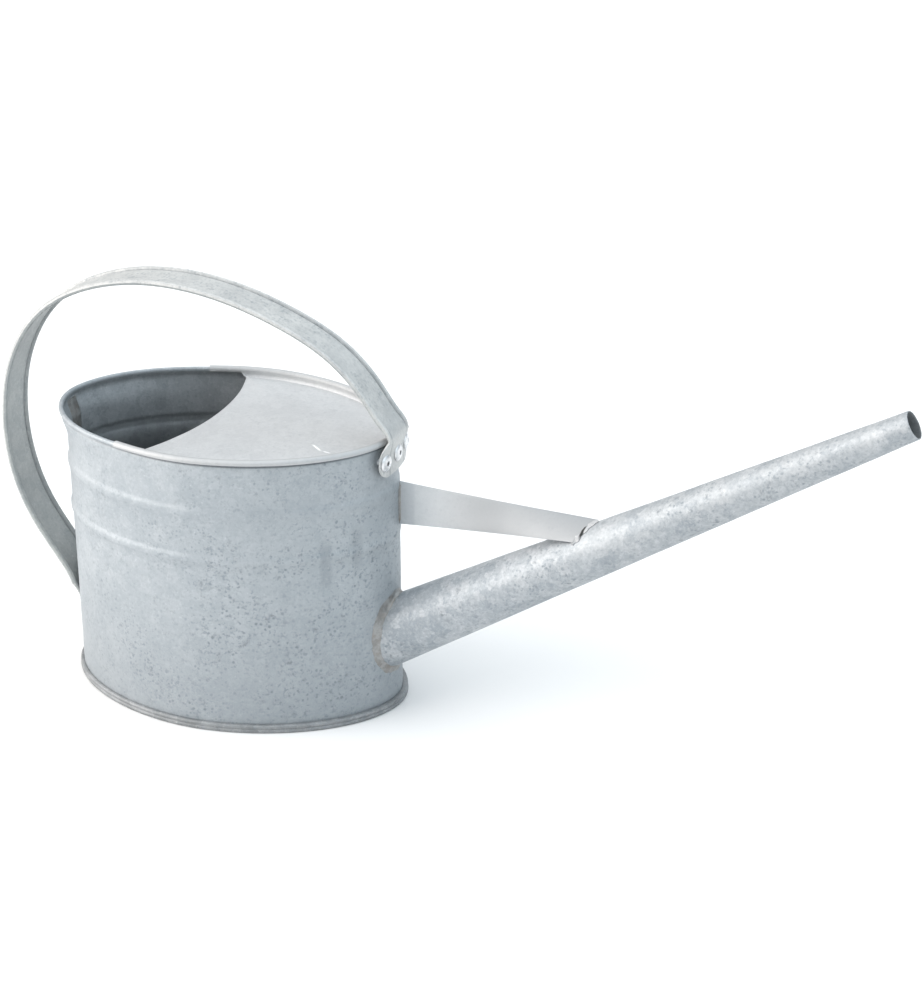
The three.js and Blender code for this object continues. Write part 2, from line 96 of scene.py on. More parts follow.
# Middle of the strap's thickness in the plane of symmetry, from the rear foot to the front.
STRAP_PATH = (
    (-89.7, 12.1), (-89.7, 32.0), (-91.2, 44.0), (-97.5, 56.0), (-112.5, 79.0),
    (-122.6, 107.0), (-124.25, 138.0), (-116.0, 171.0), (-98.5, 195.5), (-72.0, 210.9),
    (-37.0, 217.75), (0.0, 214.5), (34.0, 203.6), (60.0, 189.4), (79.0, 169.3),
    (87.3, 157.6), (91.0, 153.2), (92.3, 150.6), (92.4, 147.6), (91.5, 144.0),
    (91.0, 140.0), (90.9, 136.0), (90.9, 131.3),
)

SPOUT_ROOT_Z = 41.5
SPOUT_ANGLE = math.radians(30)
SPOUT_LENGTH = 297.0
SPOUT_ROOT_RADIUS = 17.2
SPOUT_TIP_RADIUS = 7.1

BRACE_SHEET = 0.9
BRACE_ROOT_Y = 8.0
BRACE_ROOT_Z = (97.2, 121.0)
BRACE_SOLDER_Z = (98.0, 120.4)
BRACE_TIP_NEAR = (186.0, -9.2)
BRACE_TIP_FAR = (194.5, 3.0)

# Each foot as (half its width, the height up to which it is that wide, the height over which
# it then runs into the strap, the height of its end, the radius of its corners).
FRONT_FOOT = (18.2, 142.0, 7.5, 131.0, 8.0)
REAR_FOOT = (9.6, 27.0, 16.0, 12.0, 6.0)

# Sections as (radius, height): a rivet's head, its blind end measured down from where it comes
# out behind the wall, and the broken-off mandrel in its bore.
RIVET_FACE = [
    (0.0, 0.25), (1.15, 0.25), (1.15, 1.25), (1.35, 1.42), (1.9, 1.36), (2.8, 1.2),
    (3.55, 0.92), (4.05, 0.58), (4.3, 0.3), (4.4, 0.12), (4.3, 0.0),
]
BLIND_END = [
    (2.0, 0.0), (2.7, 0.5), (2.85, 1.4), (2.7, 2.6), (2.1, 3.3), (1.3, 3.6), (0.0, 3.6),
]
MANDREL_PIN = [(0.0, 0.75), (0.5, 0.8), (0.9, 0.62), (1.02, 0.3), (0.0, 0.27)]
# Where each foot's rivets are, as (y, z).
FRONT_RIVETS = ((-12.9, 139.3), (0.0, 140.2), (13.5, 141.2))
REAR_RIVETS = ((0.0, 19.5), (0.0, 29.2))
# The radius that each foot is bent to in plan, and how far its face stands out from the wall.
FRONT_FACE = (70.0, 2.25)
REAR_FACE = (30.0, 0.95)

# Dents in the near wall as (angle, half width as an angle, lowest z, highest z, depth), and
# the streak of painted shade in each of them as (centre, the way the wall faces there).
DENTS = ((-0.69, 0.045, 76, 107, -0.9), (-0.46, 0.035, 84, 107, -0.7))
DENT_SHADE_SPOTS = (
    ((67.2, -37.7, 91), (0.53, -0.85, 0)),
    ((79.3, -25.4, 96), (0.73, -0.68, 0)),
)

# Edges that turn by more than this are shown sharp.
SHARP_EDGE = math.radians(38)
# How many sections the wall and the bottom are made of, all round.
BODY_STEPS = 320


# ---------------------------------------------------------------- meshes

def to_row(point):
    return ((point[0] + CENTRE_X) / 1000, point[1] / 1000, point[2] / 1000)


def smooth(low, high, value):
    """0 below low, 1 above high, and an easy S between them."""
    share = min(max((value - low) / (high - low), 0.0), 1.0)
    return share * share * (3 - 2 * share)


def lerp(a, b, share):
    return a + (b - a) * share


def turns(count, first=0.0):
    """Angles all round, in count equal steps."""
    return [2 * math.pi * (i + first) / count for i in range(count)]


def turning_point(test, low, high):
    """The value between low and high at which test turns from true to false."""
    for _ in range(40):
        middle = (low + high) / 2
        if test(middle):
            low = middle
        else:
            high = middle
    return low


def link_new(name, data):
    """A new object in the scene."""
    made = bpy.data.objects.new(name, data)
    bpy.context.scene.collection.objects.link(made)
    return made


def make_object(name, mesh_bm, material):
    bmesh.ops.remove_doubles(mesh_bm, verts=mesh_bm.verts, dist=1e-6)
    bmesh.ops.recalc_face_normals(mesh_bm, faces=mesh_bm.faces)
    mesh = bpy.data.meshes.new(name)
    mesh_bm.to_mesh(mesh)
    mesh_bm.free()
    mesh.shade_smooth()
    mesh.set_sharp_from_angle(angle=SHARP_EDGE)
    mesh.materials.append(material)
    piece = link_new(name, mesh)
    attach(piece, "root")
    return piece


def add_skin(mesh_bm, rows, close_rows=False, close_points=False, cap=False):
    """Faces over rows of points, each row as long as the others."""
    grid = [[mesh_bm.verts.new(to_row(point)) for point in row] for row in rows]
    last_row = len(grid) if close_rows else len(grid) - 1
    last_point = len(grid[0]) if close_points else len(grid[0]) - 1
    for i in range(last_row):
        here, ahead = grid[i], grid[(i + 1) % len(grid)]
        for j in range(last_point):
            k = (j + 1) % len(here)
            mesh_bm.faces.new((here[j], here[k], ahead[k], ahead[j]))
    if cap:
        mesh_bm.faces.new(grid[0])
        mesh_bm.faces.new(grid[-1])


def skin(name, rows, material, **closing):
    mesh_bm = bmesh.new()
    add_skin(mesh_bm, rows, **closing)
    return make_object(name, mesh_bm, material)


def bend(start, corner, end, share):
    """A point on the curve that leaves start and reaches end, pulled towards a corner."""
    rest = 1 - share
    return start * rest ** 2 + corner * 2 * share * rest + end * share * share


def apply_modifiers(piece):
    """Replaces a piece's mesh by what its modifiers make of it, with its sharp edges."""
    depsgraph = bpy.context.evaluated_depsgraph_get()
    mesh = bpy.data.meshes.new_from_object(piece.evaluated_get(depsgraph))
    mesh.set_sharp_from_angle(angle=SHARP_EDGE)
    piece.modifiers.clear()
    piece.data = mesh


def thicken(piece, thickness):
    """Gives an open skin its sheet thickness, in millimetres, half to each side."""
    modifier = piece.modifiers.new("sheet", "SOLIDIFY")
    modifier.thickness = thickness / 1000
    modifier.offset = 0.0
    apply_modifiers(piece)


def repaint(piece, material, chosen):
    """Gives another material to the faces that chosen(centre, normal) picks."""
    piece.data.materials.append(material)
    for polygon in piece.data.polygons:
        if chosen(polygon.center, polygon.normal):
            polygon.material_index = len(piece.data.materials) - 1


def wobble(seed, *values):
    """Smooth unevenness between about -1 and 1."""
    place = Vector(values + (0.0,) * (3 - len(values)))
    return noise.noise(place + Vector((seed, 7.3 * seed, 3.1 * seed)))


def ring_wobble(seed, angle, reach, third=0.0):
    """Unevenness round a circle; it changes faster with a greater reach."""
    return wobble(seed, reach * math.cos(angle), reach * math.sin(angle), third)


# ---------------------------------------------------------------- the body's oval

def signed_power(value, power):
    return math.copysign(abs(value) ** power, value)


def oval(angle, offset=0.0):
    """A point of the body's oval in plan, moved out along its normal, and that normal."""
    x = signed_power(math.cos(angle), 2 / ROUNDNESS)
    y = signed_power(math.sin(angle), 2 / ROUNDNESS)
    normal = Vector((
        signed_power(x, ROUNDNESS - 1) / HALF_LENGTH,
        signed_power(y, ROUNDNESS - 1) / HALF_WIDTH,
    )).normalized()
    return Vector((HALF_LENGTH * x, HALF_WIDTH * y)) + normal * offset, normal


def oval_level(x, y, offset=0.0):
    """Below 0 inside the oval and above 0 outside it."""
    lengthwise = abs(x / (HALF_LENGTH + offset)) ** ROUNDNESS
    return lengthwise + abs(y / (HALF_WIDTH + offset)) ** ROUNDNESS - 1


def oval_x(y, offset=0.0):
    across = abs(y) / (HALF_WIDTH + offset)
    return (HALF_LENGTH + offset) * (1 - across ** ROUNDNESS) ** (1 / ROUNDNESS)


# ---------------------------------------------------------------- materials

def feed(tree, node, values):
    """Sets a node's inputs, or links them where the value is another node's socket."""
    for key, value in values.items():
        if isinstance(value, bpy.types.NodeSocket):
            tree.links.new(value, node.inputs[key])
        else:
            node.inputs[key].default_value = value


def add_node(tree, kind, values, **settings):
    node = tree.nodes.new(kind)
    for key, value in settings.items():
        setattr(node, key, value)
    feed(tree, node, values)
    return node


class Paint:
    """A procedural material being put together, with the maths kept short."""

    def __init__(self, name):
        self.material = bpy.data.materials.new(name)
        self.material.use_nodes = True
        self.tree = self.material.node_tree
        self.shader = self.tree.nodes["Principled BSDF"]
        self.place = self.node("ShaderNodeTexCoord", {}).outputs["Object"]

    def node(self, kind, values, **settings):
        return add_node(self.tree, kind, values, **settings)

    def finish(self, colour, rough, normal, metallic):
        feed(self.tree, self.shader, {
            "Base Color": colour, "Roughness": rough, "Normal": normal, "Metallic": metallic,
        })
        return self.material

    def scaled(self, size, seed):
        """Where we are, in units of size millimetres."""
        return self.node("ShaderNodeMapping", {
            "Vector": self.place,
            "Scale": [1000 / size] * 3,
            "Location": (seed, 1.7 * seed, 2.9 * seed),
        }).outputs["Vector"]

    def noise(self, size, detail=2.0, rough=0.5, distortion=0.0, seed=0.0):
        """Cloudy noise whose features are about size millimetres across."""
        return self.node("ShaderNodeTexNoise", {
            "Vector": self.scaled(size, seed), "Scale": 1.0, "Detail": detail,
            "Roughness": rough, "Distortion": distortion,
        }).outputs["Fac"]

    def cells(self, size, distort, seed, output="Color"):
        """Cells about size millimetres across, with their sides made uneven."""
        vector = self.scaled(size, seed)
        uneven = self.node("ShaderNodeTexNoise", {"Vector": vector, "Scale": 1.3, "Detail": 2.0})
        moved = self.node(
            "ShaderNodeMix", {0: distort, 6: vector, 7: uneven.outputs["Color"]},
            data_type="RGBA", blend_type="LINEAR_LIGHT",
        )
        made = self.node("ShaderNodeTexVoronoi", {"Vector": moved.outputs[2], "Scale": 1.0})
        return made.outputs[output]

    def dots(self, size, rarity, seed):
        """Soft uneven dots, in a share 1 - rarity of cells of size millimetres."""
        away = self.cells(size, 0.30, seed, "Distance")
        chance = self.grey(self.cells(size, 0.30, seed))
        radius = self.remap(chance, rarity, 1.0, 0.0, 0.40)
        return self.remap(self.maths("SUBTRACT", radius, away), -0.16, 0.20)

    def maths(self, operation, a, b=0.0, clamp=False):
        made = self.node("ShaderNodeMath", {0: a, 1: b}, operation=operation, use_clamp=clamp)
        return made.outputs[0]

    def times(self, a, b):
        return self.maths("MULTIPLY", a, b)

    def off(self, a, b):
        """How far a is from b."""
        return self.maths("ABSOLUTE", self.maths("SUBTRACT", a, b))

    def remap(self, value, low, high, to_low=0.0, to_high=1.0):
        """Goes from to_low to to_high, in an easy S, while value goes from low to high."""
        return self.node("ShaderNodeMapRange", {
            "Value": value, "From Min": low, "From Max": high, "To Min": to_low, "To Max": to_high,
        }, interpolation_type="SMOOTHSTEP").outputs["Result"]

    def mix(self, share, a, b):
        a, b = (c if isinstance(c, bpy.types.NodeSocket) else (*c, 1) for c in (a, b))
        return self.node("ShaderNodeMix", {0: share, 6: a, 7: b}, data_type="RGBA").outputs[2]

    def grey(self, colour):
        return self.node("ShaderNodeSeparateColor", {0: colour}).outputs[0]

    def height(self, value, depth, normal=None):
        """Bumps of depth millimetres where value goes from 0 to 1."""
        values = {"Height": value, "Distance": depth / 1000}
        if normal is not None:
            values["Normal"] = normal
        return self.node("ShaderNodeBump", values).outputs["Normal"]

    def along(self, direction):
        """How far we are along a direction, in metres."""
        values = {0: self.place, 1: direction}
        return self.node("ShaderNodeVectorMath", values, operation="DOT_PRODUCT").outputs["Value"]

    def patch(self, centre, along, half_length, half_width, facing=(0, 0, 1)):
        """1 inside a soft-edged oblong on the surface, 0 away from it."""
        along = Vector(along).normalized()
        across = Vector(facing).cross(along).normalized()
        masks = []
        for direction, half in ((along, half_length), (across, half_width)):
            away = self.off(self.along(direction), Vector(to_row(centre)).dot(direction))
            masks.append(self.remap(away, 0.35 * half / 1000, half / 1000, 1.0, 0.0))
        return self.times(masks[0], masks[1])


def galvanised(name, light, dark, specks=0.5, grain=0.10, dense=None, extra=None):
    """Dull hot-dipped zinc: faint spangle and clouds under many small soft grey specks.

    grain is how strong the fine mottling is. dense is (direction, low, high): the specks get
    thicker along the direction, from low to high in metres.
    """
    paint = Paint(name)
    clouds = paint.noise(40, detail=3, rough=0.5, distortion=0.3)
    mottle = paint.noise(8, detail=4, rough=0.6, seed=3.1)
    spangle = paint.grey(paint.cells(5.5, 0.35, 1.7))
    fine = paint.noise(0.9, detail=3, rough=0.6, seed=5.3)
    tone = 0.0
    for layer, share in ((clouds, 0.42), (mottle, 0.28), (spangle, 0.14), (fine, 0.24)):
        tone = paint.maths("ADD", tone, paint.times(layer, share))
    colour = paint.mix(paint.remap(tone, 0.39, 0.69), dark, light)
    crystals = paint.noise(2.0, detail=4, rough=0.62, distortion=0.3, seed=41.3)
    dull = paint.remap(crystals, 0.53, 0.34, 0.0, grain)
    colour = paint.mix(dull, colour, (0.21, 0.24, 0.262))
    shiny = paint.remap(crystals, 0.50, 0.68, 0.0, 0.8 * grain)
    colour = paint.mix(shiny, colour, (0.84, 0.86, 0.87))

    where = paint.remap(paint.noise(30, detail=3, rough=0.6, seed=9.2), 0.38, 0.62, 0.35, 1.0)
    if dense:
        direction, low, high = dense
        where = paint.times(where, paint.remap(paint.along(direction), low, high, 0.55, 1.35))
    dots = paint.dots(2.0, 0.40, 11.9)
    soft = paint.noise(1.9, detail=3, rough=0.55, distortion=0.5, seed=17.3)
    soft = paint.remap(soft, 0.53, 0.70)
    small = paint.maths("MAXIMUM", dots, paint.times(soft, 0.75))
    spots = paint.maths("MULTIPLY", paint.times(small, where), specks, clamp=True)
    colour = paint.mix(spots, colour, (0.25, 0.285, 0.31))
    smudges = paint.remap(paint.noise(3.8, detail=5, rough=0.72, seed=31.5), 0.55, 0.71)
    smudges = paint.maths("MULTIPLY", paint.times(smudges, where), specks, clamp=True)
    colour = paint.mix(smudges, colour, (0.22, 0.24, 0.255))

    bright = paint.noise(1.9, detail=3, rough=0.6, seed=21.4)
    bright = paint.times(paint.remap(bright, 0.60, 0.74), 0.18)
    colour = paint.mix(bright, colour, (0.80, 0.82, 0.83))

    rough = paint.maths("ADD", 0.47, paint.times(mottle, 0.16))
    rough = paint.maths("ADD", rough, paint.times(spots, 0.2))
    normal = paint.height(paint.noise(22, detail=1, seed=2.2), 0.16)
    normal = paint.height(paint.noise(0.7, detail=3, rough=0.7, seed=4.4), 0.03, normal)
    if extra:
        colour, rough, normal = extra(paint, colour, rough, normal)
    return paint.finish(colour, rough, normal, 0.45)


def cover_shade_and_scratches(paint, colour, rough, normal):
    """Painted shade on the hem, and two bright scratches near the cover's edge."""
    # Painted shade on the hem.
    hem_shade = paint.remap(paint.along((0, 0, 1)), 0.1458, 0.1470, 0.0, 0.42)
    colour = paint.mix(hem_shade, colour, (0.35, 0.355, 0.355))
    long_scratch = paint.patch((55.8, -19.0, COVER_Z), (0.77, -0.64, 0), 5.5, 0.8)
    short_scratch = paint.patch((62.5, -22.3, COVER_Z), (1, -0.2, 0), 2.6, 0.7)
    marks = paint.maths("MAXIMUM", long_scratch, paint.times(short_scratch, 0.7))
    return paint.mix(marks, colour, (1.0, 1.0, 1.0)), rough, normal


def body_painted_shade(paint, colour, rough, normal):
    """Painted shade: darker zinc low down, towards the spout and in the two dents, and a painted
    shadow line under the hem.
    """
    middle = CENTRE_X / 1000
    # Painted shade on the side of the wall towards the spout, away from the key light.
    spoutward_shade = paint.remap(paint.along((1, 0, 0)), middle + 0.008, middle + 0.055, 0.0, 0.25)
    colour = paint.mix(spoutward_shade, colour, (0.24, 0.27, 0.29))
    # Painted shade low down on the wall.
    low = paint.remap(paint.along((0, 0, 1)), 0.0, 0.09, 0.38, 0.0)
    colour = paint.mix(low, colour, (0.24, 0.265, 0.285))
    # Painted shade streaks in the two dents.
    for centre, facing in DENT_SHADE_SPOTS:
        dent_shade = paint.times(paint.patch(centre, (0, 0, 1), 18, 4.2, facing), 0.28)
        colour = paint.mix(dent_shade, colour, (0.20, 0.225, 0.245))
    # Painted shadow line under the hem, stronger on the cover's side.
    away = paint.off(paint.along((0, 0, 1)), HEM_SHADOW_Z / 1000)
    hem_shadow_line = paint.remap(away, 0.0002, 0.0010, 1.0, 0.0)
    cover_side_shade = paint.remap(paint.along((1, 0, 0)), -0.175, -0.14, 0.25, 0.62)
    return paint.mix(paint.times(hem_shadow_line, cover_side_shade), colour, (0.10, 0.11, 0.12)), rough, normal


def inside_depth_shade(paint, colour, rough, normal):
    """Painted shade: darker zinc towards the bottom of the inside."""
    deep_shade = paint.remap(paint.along((0, 0, 1)), 0.085, 0.132, 0.92, 0.0)
    return paint.mix(deep_shade, colour, (0.07, 0.075, 0.08)), rough, normal


def brace_end_gap_shadow(paint, colour, rough, normal):
    """Painted shadow: the dark ragged gap where the solder did not take, near the brace's lower
    corner.
    """
    near, far = (Vector((x, y)) for x, y in (BRACE_TIP_NEAR, BRACE_TIP_FAR))
    middle = near.lerp(far, 0.36)
    spot = spout_top(middle.x + 0.6, middle.y - 0.4, 0.6)
    # Painted shadow of the gap.
    gap_shadow = paint.patch(spot, (*(far - near), 2.5), 4.4, 0.75, SPOUT_UP)
    return paint.mix(gap_shadow, colour, (0.03, 0.03, 0.03)), rough, normal


def strap_crease_shade(paint, colour, rough, normal):
    """Painted shade in the crease along the inside of each rolled edge."""
    across = paint.maths("ABSOLUTE", paint.along((0, 1, 0)))
    crease = (STRAP_WIDTH / 2 - 2 * STRAP_BEAD - 0.1) / 1000
    near = paint.remap(paint.off(across, crease), 0.0002, 0.0011, 1.0, 0.0)
    patchy = paint.remap(paint.noise(6, detail=3, rough=0.6, seed=14.2), 0.30, 0.60, 0.2, 0.6)
    share = paint.times(near, patchy)
    return paint.mix(share, colour, (0.26, 0.28, 0.29)), rough, normal


def brace_painted_light(paint, colour, rough, normal):
    """Painted light and shade: palest near the wall, duller on the spout, with a painted shadow at
    the root.
    """
    start, end = (value / 1000 for value in span("spout_brace", 0))
    way = paint.along((1, 0, 0))
    # Painted light near the wall.
    painted_pale = paint.remap(way, start, end, 1.0, 0.0)
    colour = paint.mix(paint.times(painted_pale, 0.5), colour, (0.84, 0.855, 0.86))
    # Painted shade towards the spout.
    dull = paint.remap(way, lerp(start, end, 0.08), lerp(start, end, 0.5), 0.0, 0.85)
    colour = paint.mix(dull, colour, (0.31, 0.32, 0.33))
    # Painted shadow where the brace leaves the wall.
    root_shadow = paint.remap(way, start + 0.0075, start + 0.0100, 0.3, 0.0)
    return paint.mix(root_shadow, colour, (0.46, 0.49, 0.52)), rough, normal


def spout_tip_shade(paint, colour, rough, normal):
    """Painted shade: the spout is a little duller towards its tip."""
    start, end = (value / 1000 for value in span("spout_tube", 0))
    way = paint.along((1, 0, 0))
    dull = paint.remap(way, lerp(start, end, 0.1), lerp(start, end, 0.6), 0.0, 0.2)
    return paint.mix(dull, colour, (0.26, 0.275, 0.285)), rough, normal


def solder_material():
    paint = Paint("tin_solder")
    lumps = paint.noise(3.2, detail=4, rough=0.6, seed=1.3)
    burn = paint.noise(9, detail=3, rough=0.6, seed=6.7)
    colour = paint.mix(paint.remap(lumps, 0.35, 0.65), (0.26, 0.258, 0.25), (0.40, 0.40, 0.395))
    burnt = paint.times(paint.remap(burn, 0.45, 0.65), 0.5)
    colour = paint.mix(burnt, colour, (0.30, 0.265, 0.235))
    normal = paint.height(paint.noise(1.6, detail=4, rough=0.6, seed=8.8), 0.25)
    return paint.finish(colour, paint.remap(lumps, 0.3, 0.7, 0.42, 0.68), normal, 0.7)


def rivet_material():
    paint = Paint("rivet_aluminium")
    brushed = paint.noise(0.6, detail=3, rough=0.6, seed=2.7)
    wear = paint.noise(2.6, detail=3, rough=0.6, seed=6.1)
    colour = paint.mix(paint.remap(wear, 0.4, 0.7), (0.70, 0.71, 0.72), (0.86, 0.86, 0.87))
    rough = paint.remap(brushed, 0.3, 0.7, 0.26, 0.42)
    return paint.finish(colour, rough, paint.height(brushed, 0.02), 0.85)


def mandrel_material():
    paint = Paint("mandrel_steel")
    grain = paint.noise(0.5, detail=4, rough=0.7, seed=3.9)
    colour = paint.mix(paint.remap(grain, 0.35, 0.65), (0.05, 0.05, 0.055), (0.22, 0.21, 0.20))
    rough = paint.remap(grain, 0.3, 0.7, 0.45, 0.7)
    return paint.finish(colour, rough, paint.height(grain, 0.08), 0.8)


# Specks are thickest low down and towards the spout.
LOWER_RIGHT = ((0.8, 0, -0.6), -0.20, -0.07)
BODY_PAINT = galvanised(
    "galvanised_body", (0.445, 0.475, 0.497), (0.372, 0.405, 0.43), specks=0.8, grain=0.09,
    dense=LOWER_RIGHT, extra=body_painted_shade
)
INSIDE_PAINT = galvanised(
    "galvanised_inside", (0.46, 0.49, 0.51), (0.34, 0.365, 0.385), specks=0.5, extra=inside_depth_shade
)
BASE_PAINT = galvanised("galvanised_base", (0.33, 0.34, 0.35), (0.21, 0.22, 0.225), specks=0.4)
COVER_PAINT = galvanised(
    "galvanised_cover", (0.60, 0.61, 0.618), (0.55, 0.56, 0.57), specks=0.15, grain=0.06,
    extra=cover_shade_and_scratches
)
STRAP_PAINT = galvanised(
    "galvanised_strap", (0.59, 0.592, 0.58), (0.49, 0.497, 0.492), specks=0.5, extra=strap_crease_shade
)
# A darker copy of the strap's zinc for its inside faces: painted shade.
STRAP_SHADED_PAINT = galvanised(
    "galvanised_strap_painted_shade", (0.47, 0.485, 0.475), (0.365, 0.385, 0.385), specks=0.4,
    extra=strap_crease_shade
)
SPOUT_PAINT = galvanised(
    "galvanised_spout", (0.50, 0.52, 0.537), (0.325, 0.357, 0.385), specks=0.9, grain=0.2,
    extra=spout_tip_shade
)
# Painted shade: the inside of the spout is painted dark.
BORE_SHADE_PAINT = galvanised("galvanised_bore_shade", (0.27, 0.285, 0.295), (0.18, 0.19, 0.20), specks=0.3)
BRACE_PAINT = galvanised(
    "galvanised_brace", (0.60, 0.615, 0.625), (0.55, 0.565, 0.58), specks=0.2, grain=0.09,
    extra=brace_painted_light
)
SOLDER_PAINT = solder_material()
RIVET_PAINT = rivet_material()
MANDREL_PAINT = mandrel_material()


# ---------------------------------------------------------------- body

def rib_rise(z, angle):
    """How far the ribs push the wall out at a height, fading a little towards the spout."""
    strength = lerp(0.72, 1.0, smooth(0.0, 2.2, abs(math.remainder(angle, 2 * math.pi))))
    total = 0.0
    for middle, height, proud in RIBS:
        away = abs(z - middle) / (height / 2)
        total += proud * (1 - smooth(0.30, 1.0, away))
    return strength * total


def lip_reach(angle, z):
    """How far the rim is drawn out at the open end of the top."""
    return LIP_REACH * smooth(0.35, 0.95, -math.cos(angle)) * smooth(LIP_FROM, LIP_TO, z)


def sheet_waves(angle, z):
    """Slight dents and waves of hand-worked thin sheet, in millimetres."""
    inside = smooth(2, 25, z) * (1 - smooth(118, 144, z))
    waves = 0.45 * ring_wobble(4.0, angle, 2.2, z / 70)
    waves += 0.16 * ring_wobble(9.0, angle, 6.6, z / 28)
    for spot, width, low, high, depth in DENTS:
        side = math.remainder(angle - spot, 2 * math.pi) / width
        height = smooth(low - 3, low + 5, z) * (1 - smooth(high - 5, high + 3, z))
        waves += depth * math.exp(-side * side) * height
    return inside * waves


def wall_levels():
    levels = [6.0]
    while levels[-1] < 142.5:
        z = levels[-1]
        near_rib = min(abs(z + 0.5 - middle) - height / 2 for middle, height, _ in RIBS)
        levels.append(z + (0.85 if near_rib < 1.0 else 3.6))
    return levels


def body_section(angle):
    """The wall's closed section at an angle, as (offset, z) from the outside at the bottom."""
    outside = [(rib_rise(z, angle) + sheet_waves(angle, z), z) for z in wall_levels()]
    inside = [(push - SHEET, z) for push, z in reversed(outside)]
    roll = [(0.0, 145.2), (-0.15, 146.0), (-0.4, 146.5), (-0.3, 146.85)]
    for i in range(13):
        turn = math.radians(-62 + 242 * i / 12)
        out, up = ROLL_RADIUS * math.cos(turn), ROLL_RADIUS * math.sin(turn)
        roll.append((RIM_OFFSET + out, RIM_Z + up))
    roll += [(RIM_OFFSET - ROLL_RADIUS, 147.0), (-SHEET - 0.35, 145.8), (-SHEET - 0.02, 144.2)]
    bottom = [(-SHEET, 1.4), (0.7, 1.4), (0.7, 2.1), (0.0, 2.2)]
    section = bottom + outside + roll + inside
    return [(offset + lip_reach(angle, z), z) for offset, z in section]


def build_body():
    rows = []
    for angle in turns(BODY_STEPS, 0.5):
        base, normal = oval(angle)
        rows.append([(*(base + normal * offset), z) for offset, z in body_section(angle)])
    body = skin("body_shell", rows, BODY_PAINT, close_rows=True, close_points=True)
    cutter = spout_cutter()
    modifier = body.modifiers.new("spout_hole", "BOOLEAN")
    modifier.operation = "DIFFERENCE"
    modifier.object = cutter
    modifier.solver = "EXACT"
    apply_modifiers(body)
    bpy.data.objects.remove(cutter)

    def on_inside(centre, normal):
        out = centre - Vector((CENTRE_X / 1000, 0, centre.z))
        return normal.dot(out) < 0 and centre.z < 0.1465

    repaint(body, INSIDE_PAINT, on_inside)
    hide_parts("body_wall", "rim_wire")


def build_lap_seam():
    """The wall's soldered lap, down the inside of its rear."""
    rows = []
    for i in range(60):
        z = lerp(*LAP_Z, i / 59)
        push = rib_rise(z, math.pi) + sheet_waves(math.pi, z) + lip_reach(math.pi, z)
        row = []
        for j in range(9):
            y = lerp(-LAP_HALF, LAP_HALF, j / 8)
            rise = 0.75 * (1 - smooth(3.2, LAP_HALF, abs(y))) + 0.12 * wobble(2.0, y / 2, z / 6)
            edge = 0.3 * wobble(3.0, z / 5, 1.0)
            inner = -oval_x(y + edge) + SHEET - push + rise + 0.02
            row.append((inner, y + edge, z))
        for j in range(8, -1, -4):
            y = lerp(-LAP_HALF, LAP_HALF, j / 8)
            row.append((-oval_x(y) + 0.35 - push, y, z))
        rows.append(row)
    seam = skin("body_lap_seam", rows, SOLDER_PAINT, close_points=True, cap=True)


# ---------------------------------------------------------------- bottom

# The double seam's section as (offset, z), from under the pan, round the ring, to the pan's top.
SEAM_SECTION = (
    (-3.4, 4.2), (-2.3, 4.0), (-1.8, 3.3), (-1.7, 0.5), (-1.45, 0.12), (-1.0, 0.0),
    (0.9, 0.0), (1.45, 0.12), (1.82, 0.6), (1.9, 1.2), (1.78, 1.9), (1.5, 2.25), (1.75, 2.6),
    (1.82, 3.2), (1.7, 3.9), (1.3, 4.35), (0.7, 4.5), (0.25, 4.55), (0.05, 4.3), (-0.9, 4.3),
    (-1.0, 5.0), (-1.8, 5.25),
)


def build_base():
    """The dished bottom with the double seam that holds it to the wall."""
    scale_steps = (0.0, 0.15, 0.3, 0.45, 0.6, 0.75, 0.86, 0.93)
    rows = []
    for angle in turns(BODY_STEPS, 0.5):
        base, normal = oval(angle)
        edge, _ = oval(angle, -SHEET - 0.3)

        def at_scale(scale, z):
            uneven = 1 + 0.4 * ring_wobble(5.0, angle, scale)
            crown = 0.5 * (1 - scale * scale) * uneven
            return (edge.x * scale, edge.y * scale, z + crown)

        fuller = 1 + 0.5 * max(0.0, math.cos(angle)) ** 2

        def at_offset(offset, z):
            return (*(base + normal * (offset * fuller if offset > 0.3 else offset)), z)

        row = [at_scale(scale, 4.2) for scale in scale_steps]
        row += [at_offset(offset, z) for offset, z in SEAM_SECTION]
        row += [at_scale(scale, 5.0) for scale in reversed(scale_steps)]
        rows.append(row)
    base_piece = skin("base_pan", rows, BASE_PAINT, close_rows=True)
    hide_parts("base_plate")


# ---------------------------------------------------------------- cover

def arc_edge_x(y):
    apex_x, apex_y = COVER_ARC_APEX
    return apex_x - (COVER_ARC_RADIUS - math.sqrt(COVER_ARC_RADIUS ** 2 - (y - apex_y) ** 2))


